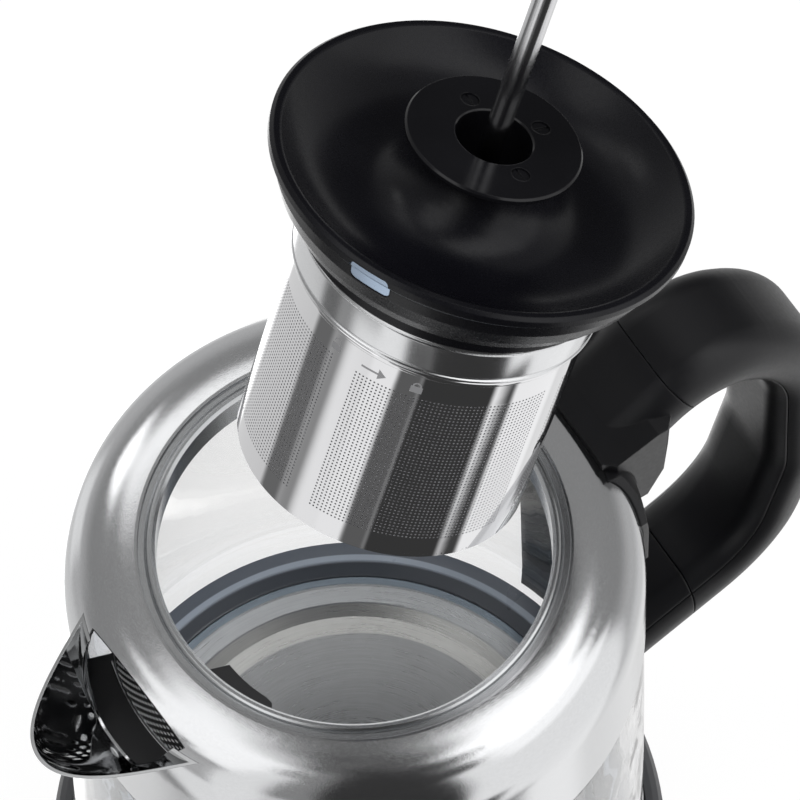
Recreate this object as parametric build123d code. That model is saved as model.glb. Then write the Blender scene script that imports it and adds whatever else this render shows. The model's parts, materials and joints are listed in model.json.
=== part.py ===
from build123d import *
import os
from math import atan2, cos, degrees, radians, sin, tan

# Automatic tea maker: a glass jug with a steel shoulder on a powered base, and a lid that
# carries a lifting infuser basket.  Millimetres, +Z up.  The origin is on the jug's axis at
# the underside of the base.  +X points to the handle, the spout lies towards -X.
# The infuser unit is held above the jug, leaning towards the handle.

# ---------------------------------------------------------------- driving dimensions
MOUTH_Z = 208.0          # top of the jug's mouth above the table
MOUTH_R = 51.8           # clear radius of the mouth
SHOULDER_TOP_R = 57.2    # where the steel shoulder starts outside the mouth ring
SHOULDER_SIDE_R = 76.9   # radius of the shoulder below its round corner
SHOULDER_R = 77.9        # radius of the shoulder's lower edge
SHOULDER_Z = 160.0       # height of the shoulder's lower edge
SHEET = 0.8              # steel sheet thickness
GLASS_R = 81.5           # widest radius of the glass
GLASS_WALL = 3.0
GLASS_BOTTOM = 44.5
GLASS_TOP = 172.0
HEATER_Z = 45.0          # top of the flat heater plate
HEATER_R = 56.5
HEATER_STEP_R = 60.4     # where the plate's bevel ends
HEATER_STEP = 1.6        # height of the bevel
HEATER_LIP_R = 65.6      # inside of the plate's raised lip
HEATER_RIM_R = 68.5
HEATER_SHEET = 1.2

SPOUT_TURN = 3.3         # the spout stands this many degrees past -X
BEAK_TIP_S = 100.0       # reach of the beak from the jug's axis
BEAK_ROOT_S = 63.5       # where the beak's rim leaves the shoulder
BEAK_HALF = 28.5         # half width of the beak there
BEAK_RIM_Z = -4.7        # rim height at the shoulder, from the mouth
BEAK_TIP_Z = -8.4        # rim height at the tip, from the mouth
WINDOW_HALF = 21.5       # half width of the pouring window across its top
WINDOW_TOP_S = 68.2      # reach of the window's straight top edge
WINDOW_DEPTH = 29.0      # the window's rounded bottom, down from the mouth

BASE_R = 91.0
BASE_H = 22.0
BASE_WELL_R = 84.5
BASE_WELL_Z = 20.0
BASE_WALL = 2.4
JUG_FOOT_R = 82.0
JUG_FOOT_Z = 20.5
CONSOLE_HALF = 47.0      # half width of the control console at the front
CONSOLE_Y = -126.0       # front edge of the console
CONSOLE_FRONT_Z = 12.0
CONSOLE_BACK_Y = -88.0

BUTTON_R = 6.2
BUTTON_GAP = 0.35
BUTTON_PROUD = 1.6
BUTTON_X = (-36.0, -20.5, 20.5, 36.0)
BUTTON_NAMES = ("button_power", "button_down", "button_up", "button_warm")

HANDLE_HALF_Y = 16.6     # half width of the handle's rounded section
HANDLE_HALF_N = 9.5      # half thickness of the section, in the plane of the loop
HANDLE_ROUND = 9.2       # corner radius of the section
HANDLE_SPLIT = -6.0      # the inner strip starts this far from the centreline
HANDLE_PATH = ((71.0, 197.6), (103.3, 220.7), (134.7, 196.2), (138.9, 135.6), (129.7, 91.7),
               (82.0, 69.3))
HANDLE_BENDS = (23.9, 44.7, 39.7, 37.5)
UPPER_SEAM_X = 96.0      # where the upper bracket ends and the grip starts, at the height below
UPPER_SEAM_Z = 210.0
UPPER_SEAM_LEAN = 0.6    # the upper seam leans this far in X for each unit of height
LOWER_SEAM_X = 103.7     # where the grip ends and the lower bracket starts

LID_TILT = 23.2          # lean of the raised infuser
LID_TILT_AZ = 17.3       # compass direction of the lean, from +X
LID_CENTRE = (47.6, 14.4, MOUTH_Z + 127.4)
LID_R = 53.2             # rim of the lid
FLANGE_R = 22.2
FLANGE_Z = 9.26          # top of the glossy flange above the rim plane
FLANGE_HOLE_R = 9.6
COLUMN_R = 11.7
SKIRT_BOTTOM = -23.6
CAP_R = 39.3             # steel cap above the basket
CAP_TOP = -24.0
CAP_BOTTOM = -35.6
BASKET_R = 37.8
BASKET_TOP = -26.0
BASKET_BOTTOM = -99.65
ROD_R = 3.0
ROD_RUN = 0.05           # running clearance round the rod
KNOB_Z = 62.5            # underside of the knob with the basket raised
KNOB_H = 17.0
KNOB_R = 15.0
BALL_R = 2.0
BALL_Z = -12.5
BALL_GAP = 0.06
BALL_OFFSET = ROD_R + BALL_GAP + BALL_R
LUGS = 3
LUG_SPAN = 18.0

os.makedirs("parts", exist_ok=True)


# ---------------------------------------------------------------- helpers
def turned(points):
    """Solid of revolution about Z from a closed outline of (radius, height) points."""
    return revolve(Plane.XZ * make_face(Polyline(*points, close=True)), Axis.Z)


def ring(r_in, r_out, z0, z1):
    """Flat ring between two radii and two heights."""
    return turned(((r_in, z0), (r_out, z0), (r_out, z1), (r_in, z1)))


def post(r, z0, z1, x=0.0, y=0.0):
    """Upright cylinder."""
    return Pos(x, y, z0) * Cylinder(r, z1 - z0, align=(Align.CENTER, Align.CENTER, Align.MIN))


def block(x0, x1, y0, y1, z0, z1):
    """Box between two corners."""
    size = (x1 - x0, y1 - y0, z1 - z0)
    return Pos((x0 + x1) / 2, (y0 + y1) / 2, (z0 + z1) / 2) * Box(*size)


def keep(name, shape):
    """Write one sub-part."""
    shape.label = name
    export_step(shape, f"parts/{name}.step")


# ---------------------------------------------------------------- shoulder and mouth
def shoulder_outline(inset):
    """Area inside the shoulder, down to its lower edge, pulled in by the inset."""
    top_z = MOUTH_Z - inset
    side_z = MOUTH_Z - 20.0
    crown = Bezier(
        (SHOULDER_TOP_R, top_z),
        (SHOULDER_TOP_R + 14.5 - inset / 2, top_z - 1.2),
        (SHOULDER_SIDE_R - 0.4 - inset, top_z - 5.6),
        (SHOULDER_SIDE_R - inset, side_z),
    )
    side = Line((SHOULDER_SIDE_R - inset, side_z), (SHOULDER_R - inset, SHOULDER_Z))
    rest = Polyline((SHOULDER_R - inset, SHOULDER_Z), (0, SHOULDER_Z), (0, top_z), (SHOULDER_TOP_R, top_z))
    return revolve(Plane.XZ * make_face(crown + side + rest), Axis.Z)


SHOULDER_BODY = shoulder_outline(0.0)
SPOUT = Rot(0, 0, 180 + SPOUT_TURN)


def spout_window():
    """Three-cornered window that lets the tea into the beak."""
    low_half = 8.0
    low = 1.0 - WINDOW_DEPTH
    corners = ((-WINDOW_HALF, 6.0), (-WINDOW_HALF, -3.2), (-low_half, low), (low_half, low),
               (WINDOW_HALF, -3.2), (WINDOW_HALF, 6.0))
    face = make_face(Polyline(*corners, close=True))
    face = fillet(face.vertices().sort_by(Axis.Y)[:2], 6.0)
    plane = Plane(origin=(WINDOW_TOP_S, 0, MOUTH_Z), x_dir=(0, 1, 0), z_dir=(1, 0, 0))
    return SPOUT * extrude(plane * face, 30.0)


shoulder = SHOULDER_BODY - shoulder_outline(SHEET) - post(SHOULDER_TOP_R - SHEET, 150, 215)
shoulder += ring(SHOULDER_TOP_R - SHEET, SHOULDER_TOP_R, MOUTH_Z - 3.4, MOUTH_Z - 0.4)
shoulder -= spout_window()
keep("steel_shoulder", shoulder)

LIP_R = MOUTH_R + 2.1    # outside of the mouth's raised lip
mouth_ring = turned((
    (MOUTH_R, MOUTH_Z - 10), (MOUTH_R + 0.9, MOUTH_Z - 10), (MOUTH_R + 0.9, MOUTH_Z - 2.0),
    (SHOULDER_TOP_R - SHEET, MOUTH_Z - 2.0), (SHOULDER_TOP_R - SHEET, MOUTH_Z - 0.9),
    (LIP_R + 0.8, MOUTH_Z - 0.9), (LIP_R + 0.4, MOUTH_Z - 1.3), (LIP_R, MOUTH_Z - 0.3),
    (LIP_R - 0.5, MOUTH_Z), (MOUTH_R + 0.8, MOUTH_Z), (MOUTH_R, MOUTH_Z - 0.9),
))
keep("mouth_ring", mouth_ring)


# ---------------------------------------------------------------- spout
RIM_SLOPE = (BEAK_TIP_Z - BEAK_RIM_Z) / (BEAK_TIP_S - BEAK_ROOT_S)
BEAK_BACK_S = 58.0       # the beak's body is closed off here, inside the shoulder
# The bowl narrows and draws back with its depth below the rim: (depth, half width, reach).
BEAK_SLICES = ((0.0, BEAK_HALF, BEAK_TIP_S), (8.0, 24.5, 95.0), (16.0, 19.8, 88.6),
               (24.0, 14.0, 81.6), (31.0, 8.0, 75.4))


def beak_slice(depth, half, reach):
    """Bullet-shaped area in a plane parallel to the rim."""
    run = reach - BEAK_ROOT_S
    side = [(BEAK_ROOT_S, half), (BEAK_ROOT_S + 0.49 * run, 0.676 * half), (reach, 0.427 * half), (reach, 0)]
    other = [(s, -y) for s, y in reversed(side)]
    back = Polyline((BEAK_ROOT_S, -half), (BEAK_BACK_S, -half), (BEAK_BACK_S, half), (BEAK_ROOT_S, half))
    root_z = MOUTH_Z + BEAK_RIM_Z - RIM_SLOPE * BEAK_ROOT_S - depth
    plane = Plane(origin=(0, 0, root_z), x_dir=(1, 0, RIM_SLOPE), z_dir=(-RIM_SLOPE, 0, 1))
    return plane * make_face(Bezier(*side) + Bezier(*other) + back)


def beak_body(inset, lift):
    """Smooth body through the slices, pulled in by the inset and raised by the lift."""
    slices = [beak_slice(depth, half - inset, reach - inset) for depth, half, reach in BEAK_SLICES]
    slices[0] = beak_slice(-lift, BEAK_HALF - inset, BEAK_TIP_S - inset)
    return loft(slices)


beak = SPOUT * (beak_body(0.0, 0.0) - beak_body(SHEET, 0.4))
beak -= SHOULDER_BODY
beak -= post(SHOULDER_TOP_R + 4, 100, 250)
beak = beak.solids().sort_by(SortBy.VOLUME)[-1]
# Inner flange of the beak, laid on the shoulder round the window.
FLANGE_SHEET = 0.6
seam_half = ((19.4, 8.0), (19.4, -3.6), (9.6, -33.0))
seam_points = ((-WINDOW_HALF - 9, 8.0), *[(-y, z) for y, z in seam_half], *reversed(seam_half),
               (WINDOW_HALF + 9, 8.0), (WINDOW_HALF + 9, -44.0), (-WINDOW_HALF - 9, -44.0))
seam_plane = Plane(origin=(66.0, 0, MOUTH_Z), x_dir=(0, 1, 0), z_dir=(1, 0, 0))
seam_prism = SPOUT * extrude(seam_plane * make_face(Polyline(*seam_points, close=True)), 30.0)
beak_flange = (shoulder_outline(-FLANGE_SHEET) - SHOULDER_BODY) & (SPOUT * beak_body(SHEET / 2, 0.0))
beak_flange = beak_flange & seam_prism
beak_flange -= post(SHOULDER_TOP_R + 6.5, 100, 250)
beak += beak_flange
keep("spout_beak", beak.solids().sort_by(SortBy.VOLUME)[-1])


# ---------------------------------------------------------------- spout filter
FILTER_R = 66.2          # the curved filter stands just inside the window
FILTER_WALL = 1.4
FILTER_TURN = 21.0       # half angle that it spans
FILTER_TOP = MOUTH_Z - 4.6
FILTER_LOW = MOUTH_Z - 33.4
TRAY_R = 75.6            # reach of the black tray under the window
MESH_SHEET = 0.4
MESH_TURN = 19.0


def wedge(azimuth, half_angle, reach=120.0):
    """Upright wedge about the axis."""
    a0 = radians(azimuth - half_angle)
    a1 = radians(azimuth + half_angle)
    tri = Polyline((0, 0), (reach * cos(a0), reach * sin(a0)), (reach * cos(a1), reach * sin(a1)), close=True)
    return extrude(Pos(0, 0, -250) * make_face(tri), 500)


filter_frame = ring(FILTER_R - FILTER_WALL, FILTER_R, FILTER_LOW, FILTER_TOP) & wedge(0, FILTER_TURN)
filter_frame -= ring(40, 80, FILTER_LOW + 3, FILTER_TOP - 3) & wedge(0, MESH_TURN - 1.5)
filter_frame += ring(FILTER_R - FILTER_WALL, TRAY_R, FILTER_LOW, FILTER_LOW + 1.2) & wedge(0, FILTER_TURN)
TAB_Z = MOUTH_Z - 23.6   # top of the finger tab
TAB_R = 40.8             # inside of the tab
tab_plan = make_face(Polyline((FILTER_R - 0.6, -9.0), (40.0, 1.0), (38.0, 16.9), (62.6, 23.0), close=True))
tab = extrude(Pos(0, 0, TAB_Z - 2.4) * tab_plan, 2.4) - post(TAB_R, 150, 210)
tab -= ring(FILTER_R - 0.2, 90, 150, 210)
tab_corners = tab.edges().filter_by(Axis.Z).sort_by(lambda edge: edge.center().X)[:2]
filter_frame += fillet(tab_corners, 1.6)
keep("filter_frame", SPOUT * filter_frame)

mesh_plate = ring(FILTER_R, FILTER_R + MESH_SHEET, FILTER_LOW + 1.3, FILTER_TOP - 0.4) & wedge(0, MESH_TURN)
keep("filter_mesh", SPOUT * mesh_plate)


# ---------------------------------------------------------------- glass and heater
GLASS_NECK_R = 77.5      # outside of the glass just under the shoulder
GLASS_NECK_Z = SHOULDER_Z - 2.0
GLASS_BELLY_Z = 62.0


def glass_curve(inset):
    """Outside line of the glass from its neck to its belly, moved by the inset."""
    points = ((GLASS_NECK_R, GLASS_NECK_Z), (78.9, 132.0), (80.4, 92.0), (GLASS_R, GLASS_BELLY_Z))
    return [(r - inset, z) for r, z in points]


def glass_shell(outer, inner):
    """Shell of revolution that follows the glass between two insets."""
    down = glass_curve(outer)
    up = list(reversed(glass_curve(inner)))
    foot_r = GLASS_R - 0.4
    foot = Polyline(down[-1], (foot_r - outer, GLASS_BOTTOM), (foot_r - inner, GLASS_BOTTOM), up[0])
    neck = Polyline(up[-1], (76.4 - inner, SHOULDER_Z + 0.5), (76.0 - inner, GLASS_TOP),
                    (76.0 - outer, GLASS_TOP), (76.4 - outer, SHOULDER_Z + 0.5), down[0])
    return revolve(Plane.XZ * make_face(Bezier(*down) + foot + Bezier(*up) + neck), Axis.Z)


keep("glass_body", glass_shell(0.0, GLASS_WALL))

shoulder_seal = ring(76.4 - GLASS_WALL - 1.2, 76.5, GLASS_TOP, GLASS_TOP + 1.6)
keep("shoulder_seal", shoulder_seal)

GLASS_IN_R = GLASS_R - 0.4 - GLASS_WALL
STEP_Z = HEATER_Z + HEATER_STEP
heater_plate = turned((
    (0, HEATER_Z - HEATER_SHEET), (HEATER_R + 0.4, HEATER_Z - HEATER_SHEET),
    (HEATER_STEP_R + 0.4, STEP_Z - HEATER_SHEET), (HEATER_RIM_R - HEATER_SHEET, STEP_Z - HEATER_SHEET),
    (HEATER_RIM_R - HEATER_SHEET, HEATER_Z - 8.0), (HEATER_RIM_R, HEATER_Z - 8.0),
    (HEATER_RIM_R, STEP_Z + 0.3),
    (HEATER_RIM_R - 0.3, STEP_Z + 0.6), (HEATER_LIP_R + 0.4, STEP_Z + 0.6), (HEATER_LIP_R, STEP_Z),
    (HEATER_STEP_R, STEP_Z), (HEATER_R, HEATER_Z), (0, HEATER_Z),
))
keep("heater_plate", heater_plate)

SEAL_FOOT_R = 74.4       # the seal stands on the jug's foot outside this radius
glass_seal = turned((
    (HEATER_RIM_R + 0.1, GLASS_BOTTOM), (GLASS_IN_R - 0.1, GLASS_BOTTOM), (GLASS_IN_R - 0.1, HEATER_Z + 5.6),
    (SEAL_FOOT_R + 0.6, HEATER_Z + 5.0), (SEAL_FOOT_R - 1.7, HEATER_Z + 4.6),
    (SEAL_FOOT_R - 2.2, HEATER_Z + 3.8),
    (HEATER_RIM_R + 0.6, HEATER_Z + 2.2), (HEATER_RIM_R + 0.1, HEATER_Z + 1.8),
))
keep("glass_seal", glass_seal)

spreader = ring(12.0, 50.0, HEATER_Z - 4.0, HEATER_Z - HEATER_SHEET)
keep("heat_spreader", spreader)
ELEMENT_Z = HEATER_Z - 7.6
element = Pos(0, 0, ELEMENT_Z) * Torus(38.0, 3.6)
element -= block(-60, 60, 20, 60, ELEMENT_Z - 10, ELEMENT_Z + 10)
for side in (-1, 1):
    element += post(1.6, ELEMENT_Z - 8.4, ELEMENT_Z, side * 31.8, 18.5)
keep("heater_element", element)
THERMOSTAT_Z = HEATER_Z - 14.0
thermostat = post(9.5, THERMOSTAT_Z + 2, HEATER_Z - HEATER_SHEET)
thermostat += block(-14, 14, -7, 7, THERMOSTAT_Z, THERMOSTAT_Z + 4)
keep("thermostat", thermostat)
SENSOR_Y = -24.0
sensor = post(2.4, HEATER_Z - 9.0, HEATER_Z - HEATER_SHEET, 0, SENSOR_Y)
sensor += post(1.0, HEATER_Z - 18.0, HEATER_Z - 9.0, 0, SENSOR_Y)
sensor -= spreader
keep("temperature_sensor", sensor.solids().sort_by(SortBy.VOLUME)[-1])

skirt_ring = turned((
    (JUG_FOOT_R - 1.2, JUG_FOOT_Z), (JUG_FOOT_R, JUG_FOOT_Z), (JUG_FOOT_R + 0.3, GLASS_BOTTOM - 1.0),
    (JUG_FOOT_R, GLASS_BOTTOM + 0.6), (GLASS_R + 0.1, GLASS_BOTTOM + 0.6),
    (GLASS_R + 0.1, GLASS_BOTTOM - 0.2), (SEAL_FOOT_R, GLASS_BOTTOM - 0.2),
    (SEAL_FOOT_R, GLASS_BOTTOM - 1.4), (JUG_FOOT_R - 1.2, GLASS_BOTTOM - 1.4),
))
keep("jug_foot", skirt_ring)

SOCKET_R = 19.0          # opening of the underside round the connector
SOCKET_H = 10.0
underside = ring(SOCKET_R, JUG_FOOT_R - 1.4, JUG_FOOT_Z, JUG_FOOT_Z + 2.0)
underside += ring(SOCKET_R, SOCKET_R + 2.0, JUG_FOOT_Z, JUG_FOOT_Z + SOCKET_H)
keep("jug_underside", underside)

POST_R = 12.0
POST_TOP = BASE_WELL_Z + 9.0
jug_socket = post(SOCKET_R - 0.3, JUG_FOOT_Z, JUG_FOOT_Z + SOCKET_H) - post(POST_R + 0.6, 0, POST_TOP + 0.8)
keep("jug_connector", jug_socket)


# ---------------------------------------------------------------- handle
def handle_wire(points, bends):
    """Centreline of the loop in the plane y = 0."""
    corners = [(x, 0, z) for x, z in points]
    return FilletPolyline(*corners, radius=list(bends))


HANDLE_LINE = handle_wire(HANDLE_PATH, HANDLE_BENDS)
start = HANDLE_LINE @ 0
heading = HANDLE_LINE % 0
SECTION_PLANE = Plane(origin=start, x_dir=(0, 1, 0), z_dir=heading)
# The section's second axis points to the outside of the loop.
OUT = 1 if SECTION_PLANE.y_dir.Z > 0 else -1


def swept(section):
    """Sweep one section round the loop."""
    return sweep(SECTION_PLANE * section, path=HANDLE_LINE)


SECTION = RectangleRounded(2 * HANDLE_HALF_Y, 2 * HANDLE_HALF_N, HANDLE_ROUND)
STRIP_SIDE = Pos(0, OUT * (HANDLE_SPLIT - 10)) * Rectangle(60, 20)
STRIP_GAP = 0.25
loop_outer = swept(SECTION - STRIP_SIDE)
loop_inner = swept(SECTION & (Pos(0, -OUT * STRIP_GAP) * STRIP_SIDE))

SEAM_GAP = 0.3


def upper_side(gap):
    """Space on the bracket's side of the leaning upper seam, moved out by the gap."""
    seam = Plane(origin=(UPPER_SEAM_X + gap, 0, UPPER_SEAM_Z), x_dir=(0, 1, 0), z_dir=(1, 0, UPPER_SEAM_LEAN))
    half_space = extrude(seam * Rectangle(200, 200), -120)
    return half_space & block(-100, 128, -60, 60, 180, 400)


def lower_side(gap):
    """Space on the lower bracket's side of the lower seam, moved out by the gap."""
    return block(-100, LOWER_SEAM_X + gap, -60, 60, -100, 145)


upper_cut = upper_side(0.0)
lower_cut = lower_side(0.0)
keep("handle_grip", loop_outer - upper_side(SEAM_GAP) - lower_side(SEAM_GAP))
keep("grip_strip", loop_inner - upper_side(SEAM_GAP) - lower_side(SEAM_GAP))

# Upright plate that carries both arms, close against the glass.
PLATE_GAP = 0.4
PLATE_T = 1.4
PLATE_HALF = 29.0
PLATE_LOW = 52.0
plate_zone = block(60, 100, -PLATE_HALF, PLATE_HALF, PLATE_LOW, GLASS_NECK_Z - 0.4)
PLATE = glass_shell(-PLATE_GAP - PLATE_T, -PLATE_GAP) & plate_zone
keep("handle_plate", PLATE)

# Pad that hugs the shoulder under the upper bracket, with a wing each side.
PAD_T = 1.8
pad_half = ((20.0, 4.0), (20.5, -3.0), (32.0, -12.0), (32.0, -34.0), (16.0, -47.4))
pad_corners = pad_half + tuple((-y, z) for y, z in reversed(pad_half))
pad_plane = Plane(origin=(55, 0, MOUTH_Z), x_dir=(0, 1, 0), z_dir=(1, 0, 0))
pad_prism = extrude(pad_plane * make_face(Polyline(*pad_corners, close=True)), 40)
PAD = (shoulder_outline(-PAD_T) - SHOULDER_BODY) & pad_prism
PAD -= block(0, 100, -60, 60, MOUTH_Z - 2.6, 300)
keep("bracket_pad", PAD)

FOOT_X = 66.6            # edge of the upper bracket's foot towards the mouth
FOOT_HALF = 19.4
FOOT_END_X = 88.0        # where the foot runs out under the barrel
FOOT_DROP = 26.0
foot_side = Polyline((FOOT_X, MOUTH_Z - FOOT_DROP), (80.4, MOUTH_Z - FOOT_DROP), (FOOT_END_X, MOUTH_Z - 9.4),
                     (FOOT_END_X, MOUTH_Z + 6.0), (FOOT_X, MOUTH_Z + 6.0), close=True)
foot = extrude(Plane.XZ * make_face(foot_side), FOOT_HALF, both=True)
foot_slope = Plane(origin=(FOOT_X, 0, MOUTH_Z + 0.4), x_dir=(0, 1, 0), z_dir=(-0.36, 0, 1))
foot -= extrude(foot_slope * Rectangle(120, 120), 40)
foot = chamfer(foot.edges().filter_by(Axis.Z), 3.0)
strip_cut = loop_inner & upper_cut
upper_bracket = ((loop_outer & upper_cut) + foot) - strip_cut
BODY_CLEAR = SHOULDER_BODY + post(SHOULDER_R, 100, SHOULDER_Z + 1)
upper_bracket -= BODY_CLEAR
upper_bracket -= PAD
upper_bracket -= PLATE
upper_bracket -= block(0, FOOT_X, -60, 60, 100, 300)
keep("upper_bracket", upper_bracket.solids().sort_by(SortBy.VOLUME)[-1])
upper_strip = strip_cut - BODY_CLEAR - PAD - PLATE - foot
keep("upper_strip", upper_strip.solids().sort_by(SortBy.VOLUME)[-1])

lower_arm = loop_outer & lower_cut
lower_under = loop_inner & lower_cut
PLATE_OUT_R = GLASS_R + PLATE_GAP + PLATE_T
plate_post = post(PLATE_OUT_R, 30, SHOULDER_Z)
keep("lower_bracket", (lower_arm - plate_post).solids().sort_by(SortBy.VOLUME)[-1])
keep("lower_strip", (lower_under - plate_post).solids().sort_by(SortBy.VOLUME)[-1])


# ---------------------------------------------------------------- infuser unit
# Built upright round its own axis, with the rim plane of the lid at height 0.
INFUSER = Pos(*LID_CENTRE) * Rot(0, 0, LID_TILT_AZ) * Rot(0, LID_TILT, 0) * Rot(0, 0, -LID_TILT_AZ)


def keep_infuser(name, shape):
    """Write one piece of the infuser unit in its raised place."""
    keep(name, INFUSER * shape)


def lid_dish():
    """Dished top of the lid with its volcano-shaped middle."""
    trough = Bezier((50.4, -0.2), (44.0, -7.2), (38.0, -10.0), (30.5, -10.0))
    rise = Bezier((30.5, -10.0), (22.0, -10.0), (15.0, -4.0), (14.6, 7.0))
    under = Bezier((30.5, -12.4), (38.6, -12.4), (45.4, -9.0), (50.4, -3.6))
    outline = (
        Polyline((LID_R - 0.9, 0.0), (50.9, 0.0), (50.4, -0.2)) + trough + rise
        + Polyline((14.6, 7.0), (COLUMN_R, 7.0), (COLUMN_R, -17.4), (COLUMN_R + 2.2, -17.4),
                   (COLUMN_R + 2.2, -8.0), (17.0, -10.4), (24.0, -12.4), (30.5, -12.4))
        + under
        + Polyline((50.4, -3.6), (LID_R - 1.0, -3.6), (LID_R, -2.6), (LID_R, -0.9), (LID_R - 0.9, 0.0))
    )
    return revolve(Plane.XZ * make_face(outline), Axis.Z)


LID_DISH = lid_dish()

NECK_R = 40.7            # black neck of the skirt above the steel cap
lid_skirt = turned((
    (50.8, -5.0), (50.2, -8.5), (48.2, -13.0), (45.6, -16.8), (44.5, -17.6), (41.2, -19.2), (NECK_R, -20.0),
    (NECK_R, SKIRT_BOTTOM), (14.4, SKIRT_BOTTOM), (14.4, SKIRT_BOTTOM + 1.8),
    (NECK_R - 1.8, SKIRT_BOTTOM + 1.8),
    (NECK_R - 1.2, -18.2), (43.6, -15.8), (46.2, -12.2), (48.2, -8.0), (48.4, -5.0),
))
CLIP_AZ = (-157.0, 23.0)  # two spring clips sit in notches of the rim, opposite each other
CLIP_HALF = 5.5
CLIP_HIGH = -1.2
CLIP_LOW = -8.0
CLIP_INSIDE = ((51.2, CLIP_HIGH), (50.5, -4.4), (48.9, CLIP_LOW))


def clip_zone(azimuth, grow):
    """Rounded block that looks outwards at a clip, grown on each side."""
    height = CLIP_HIGH - CLIP_LOW
    a = radians(azimuth)
    plane = Plane(origin=(40 * cos(a), 40 * sin(a), CLIP_LOW + height / 2), x_dir=(-sin(a), cos(a), 0),
                  z_dir=(cos(a), sin(a), 0))
    return extrude(plane * RectangleRounded(2 * (CLIP_HALF + grow), height + 2 * grow, 1.6 + grow), 25)


clip_shell = turned(CLIP_INSIDE + ((50.1, CLIP_LOW), (51.0, -4.6), (51.9, -3.6), (52.7, CLIP_HIGH)))
notch_shell = turned(CLIP_INSIDE + ((60.0, CLIP_LOW - 1), (60.0, CLIP_HIGH)))
clips = [clip_shell & clip_zone(azimuth, 0.0) for azimuth in CLIP_AZ]
lid_seal = ring(48.6, 50.8, -5.0, -3.7)
for azimuth in CLIP_AZ:
    notch = notch_shell & clip_zone(azimuth, 0.12)
    lid_skirt -= notch
    LID_DISH -= notch
    lid_seal -= notch
keep_infuser("lid_dish", LID_DISH)
lid_skirt -= LID_DISH
keep_infuser("lid_skirt", lid_skirt.solids().sort_by(SortBy.VOLUME)[-1])
keep_infuser("lid_clips", Compound(children=[c.solids()[0] for c in clips]))
lid_seal -= LID_DISH
keep_infuser("lid_seal", lid_seal.solids().sort_by(SortBy.VOLUME)[-1])

flange = turned((
    (FLANGE_HOLE_R, -8.0), (FLANGE_HOLE_R + 1.8, -8.0), (FLANGE_HOLE_R + 1.8, 7.2), (FLANGE_R - 0.5, 7.2),
    (FLANGE_R, 7.8), (FLANGE_R, FLANGE_Z - 0.5), (FLANGE_R - 0.5, FLANGE_Z), (FLANGE_HOLE_R + 0.4, FLANGE_Z),
    (FLANGE_HOLE_R, FLANGE_Z - 0.4),
))
FLANGE_SCREW_R = 13.5
FLANGE_SCREW_AZ = (81.0, -5.0, -97.0)
FLANGE_SEAT_R = 2.35
FLANGE_SEAT = 1.1        # depth of the screw seats
screws = []
for azimuth in FLANGE_SCREW_AZ:
    x = FLANGE_SCREW_R * cos(radians(azimuth))
    y = FLANGE_SCREW_R * sin(radians(azimuth))
    flange -= post(FLANGE_SEAT_R, FLANGE_Z - FLANGE_SEAT, FLANGE_Z + 1, x, y)
    head = post(FLANGE_SEAT_R - 0.1, FLANGE_Z - FLANGE_SEAT, FLANGE_Z - 0.4, x, y)
    slot = Rot(0, 0, azimuth) * block(-3, 3, -0.3, 0.3, -0.4, 0.4)
    screws.append(head - Pos(x, y, FLANGE_Z - 0.4) * slot)
keep_infuser("lid_flange", flange)
keep_infuser("flange_screws", Compound(children=[s.solids()[0] for s in screws]))

# The detent ball sits beside the rod, square to the lean, so that the lid turns about it.
BALL_DIR = LID_TILT_AZ + 90.0
bush = ring(ROD_R + ROD_RUN, COLUMN_R - 0.05, -19.0, -8.2)
pocket = Rot(0, 0, BALL_DIR) * Pos(BALL_OFFSET, 0, BALL_Z) * Rot(0, 90, 0)
bush -= pocket * Cylinder(BALL_R + 0.12, 12, align=(Align.CENTER, Align.CENTER, Align.MIN))
bush -= pocket * Sphere(BALL_R + 0.12)
keep_infuser("rod_bush", bush)
keep_infuser("detent_ball", Rot(0, 0, BALL_DIR) * Pos(BALL_OFFSET, 0, BALL_Z) * Sphere(BALL_R))
plunger = pocket * Pos(0, 0, BALL_R + 0.1) * Cylinder(
    BALL_R + 0.06, COLUMN_R - 0.4 - BALL_OFFSET - BALL_R, align=(Align.CENTER, Align.CENTER, Align.MIN))
keep_infuser("detent_plunger", plunger)

CAP_SHEET = 0.8
CAP_ROUND = 1.5
rod = post(ROD_R, CAP_TOP - CAP_SHEET - 4.4, KNOB_Z + 10.0)
keep_infuser("lift_rod", rod)
knob = turned((
    (ROD_R, KNOB_Z), (9.5, KNOB_Z), (KNOB_R - 1.0, KNOB_Z + 6.0), (KNOB_R, KNOB_Z + 9.5),
    (KNOB_R - 1.6, KNOB_Z + KNOB_H - 2.6), (KNOB_R - 4.5, KNOB_Z + KNOB_H - 0.6),
    (10.0, KNOB_Z + KNOB_H - 0.6),
    (10.0, KNOB_Z + 10.0), (ROD_R, KNOB_Z + 10.0),
))
keep_infuser("lift_knob", knob)
keep_infuser("knob_cap", post(9.9, KNOB_Z + 10.0, KNOB_Z + KNOB_H))

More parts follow.
